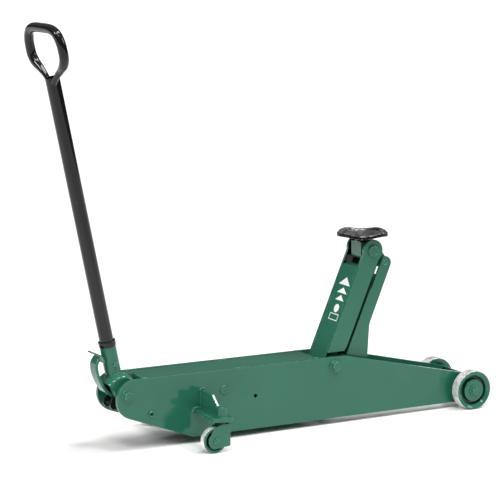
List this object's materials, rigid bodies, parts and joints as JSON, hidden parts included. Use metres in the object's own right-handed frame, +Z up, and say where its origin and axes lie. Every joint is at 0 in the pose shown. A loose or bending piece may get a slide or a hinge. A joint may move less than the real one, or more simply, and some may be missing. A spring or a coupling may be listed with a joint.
{
  "type": "hydraulic trolley car jack",
  "caption": "Long-chassis hydraulic trolley jack with raised lift arm and round saddle, parallel radius link, front rollers, swivel castors, foot pedal and D-grip pump handle.",
  "frame": {"origin": "centre of the bounding box at floor level", "axes": "+X from the handle towards the saddle and front wheels, +Y to the left, +Z up"},
  "size_m": [1.4722, 0.4236, 1.2541],
  "materials": {
    "green_paint": "semi-gloss enamel",
    "black_paint": "gloss enamel",
    "bare_steel": "turned and worn bright",
    "cast_iron": "rough cast, worn bright on the rim"
  },
  "bodies": {
    "chassis": {"side_plate_right": "green_paint", "side_plate_left": "green_paint", "top_cover": "green_paint", "nose_plate": "green_paint", "bottom_plate": "green_paint", "front_axle": "bare_steel", "front_wheel_bolt_right": "green_paint", "front_wheel_bolt_left": "green_paint", "rear_pivot_bolt": "green_paint", "rear_pivot_nut": "green_paint", "yoke_spacer_right": "bare_steel", "yoke_spacer_left": "bare_steel", "cylinder_anchor_pin": "green_paint", "arm_pivot_pin": "green_paint", "arm_pivot_collar": "green_paint", "link_stub_pin_right": "bare_steel", "link_stub_pin_left": "bare_steel", "pump_body": "green_paint", "pump_screw_right": "green_paint", "pump_screw_left": "green_paint", "hydraulic_cylinder": "green_paint", "cylinder_gland": "bare_steel", "castor_bracket_right": "green_paint", "castor_bracket_left": "green_paint"},
    "release_valve": {"release_valve_stem": "bare_steel"},
    "plunger": {"pump_plunger": "bare_steel"},
    "ram": {"ram_rod": "bare_steel", "ram_head": "bare_steel"},
    "lift_arm": {"arm_cheek_right": "green_paint", "arm_cheek_left": "green_paint", "arm_back_plate": "green_paint", "arm_hub": "green_paint", "crank_plate_right": "green_paint", "crank_plate_left": "green_paint", "crank_pin": "bare_steel", "crank_roller": "bare_steel", "saddle_pin": "green_paint"},
    "link": {"radius_link": "green_paint"},
    "carrier": {"saddle_carrier": "green_paint", "link_top_pin": "bare_steel", "saddle_spigot": "bare_steel"},
    "saddle_top": {"saddle": "cast_iron"},
    "wheel_right": {"front_wheel_right": "green_paint"},
    "wheel_left": {"front_wheel_left": "green_paint"},
    "castor_right": {"castor_fork_right": "green_paint", "castor_stem_right": "bare_steel", "castor_axle_right": "green_paint"},
    "castor_left": {"castor_fork_left": "green_paint", "castor_stem_left": "bare_steel", "castor_axle_left": "green_paint"},
    "castor_roller_right": {"castor_wheel_right": "green_paint"},
    "castor_roller_left": {"castor_wheel_left": "green_paint"},
    "yoke": {"handle_yoke": "green_paint", "pump_roller": "bare_steel", "pedal_arm": "green_paint", "pedal_tread": "green_paint", "handle_socket": "green_paint"},
    "handle": {"handle_tube": "black_paint", "handle_collar": "black_paint", "handle_grip": "black_paint"}
  },
  "joints": [
    {"name": "arm_lift", "type": "hinge", "parent": "chassis", "child": "lift_arm", "pos_m": [0.2066, 0, 0.179], "axis": [0, 1, 0], "range_deg": [-3, 72.9]},
    {"name": "link_swing", "type": "hinge", "parent": "chassis", "child": "link", "pos_m": [0.2568, 0, 0.1353], "axis": [0, 1, 0], "range_deg": [-3.5, 73.4]},
    {"name": "carrier_level", "type": "hinge", "parent": "lift_arm", "child": "carrier", "pos_m": [0.35019, 0, 0.51565], "axis": [0, 1, 0], "range_deg": [-73.4, 3.5]},
    {"name": "saddle_swivel", "type": "hinge", "parent": "carrier", "child": "saddle_top", "pos_m": [0.3422, 0, 0.54566], "axis": [0, 0, 1], "continuous": true},
    {"name": "ram_stroke", "type": "slide", "parent": "chassis", "child": "ram", "axis": [1, 0, 0], "range_m": [-0.0985, 0.0045]},
    {"name": "handle_swing", "type": "hinge", "parent": "chassis", "child": "yoke", "pos_m": [-0.4939, 0, 0.1692], "axis": [0, 1, 0], "range_deg": [-62, 0], "stiffness_Nm_per_rad": 30, "springref_deg": 25.78},
    {"name": "plunger_stroke", "type": "slide", "parent": "chassis", "child": "plunger", "axis": [1, 0, 0], "range_m": [0, 0.039]},
    {"name": "handle_turn", "type": "hinge", "parent": "yoke", "child": "handle", "pos_m": [-0.4939, 0, 0.1692], "axis": [-0.2052, 0, 0.9787], "range_deg": [-15, 60]},
    {"name": "release_stroke", "type": "slide", "parent": "chassis", "child": "release_valve", "axis": [1, 0, 0], "range_m": [-0.001, 0.0033]},
    {"name": "wheel_right_roll", "type": "hinge", "parent": "chassis", "child": "wheel_right", "pos_m": [0.6761, -0.1055, 0.06], "axis": [0, 1, 0], "continuous": true},
    {"name": "wheel_left_roll", "type": "hinge", "parent": "chassis", "child": "wheel_left", "pos_m": [0.6761, 0.1055, 0.06], "axis": [0, 1, 0], "continuous": true},
    {"name": "castor_right_swivel", "type": "hinge", "parent": "chassis", "child": "castor_right", "pos_m": [-0.2489, -0.1898, 0.1], "axis": [0, 0, 1], "continuous": true},
    {"name": "castor_left_swivel", "type": "hinge", "parent": "chassis", "child": "castor_left", "pos_m": [-0.2489, 0.1898, 0.1], "axis": [0, 0, 1], "continuous": true},
    {"name": "castor_right_roll", "type": "hinge", "parent": "castor_right", "child": "castor_roller_right", "pos_m": [-0.2774, -0.1898, 0.038], "axis": [0, 1, 0], "continuous": true},
    {"name": "castor_left_roll", "type": "hinge", "parent": "castor_left", "child": "castor_roller_left", "pos_m": [-0.2774, 0.1898, 0.038], "axis": [0, 1, 0], "continuous": true}
  ],
  "couplings": [
    {"joint": "link_swing", "follows": "arm_lift", "ratio": 1},
    {"joint": "carrier_level", "follows": "arm_lift", "ratio": -1},
    {"joint": "ram_stroke", "follows": "arm_lift", "m_per_rad": -0.077},
    {"joint": "plunger_stroke", "follows": "handle_swing", "m_per_rad": -0.0355},
    {"joint": "release_stroke", "follows": "handle_turn", "m_per_rad": 0.003}
  ]
}
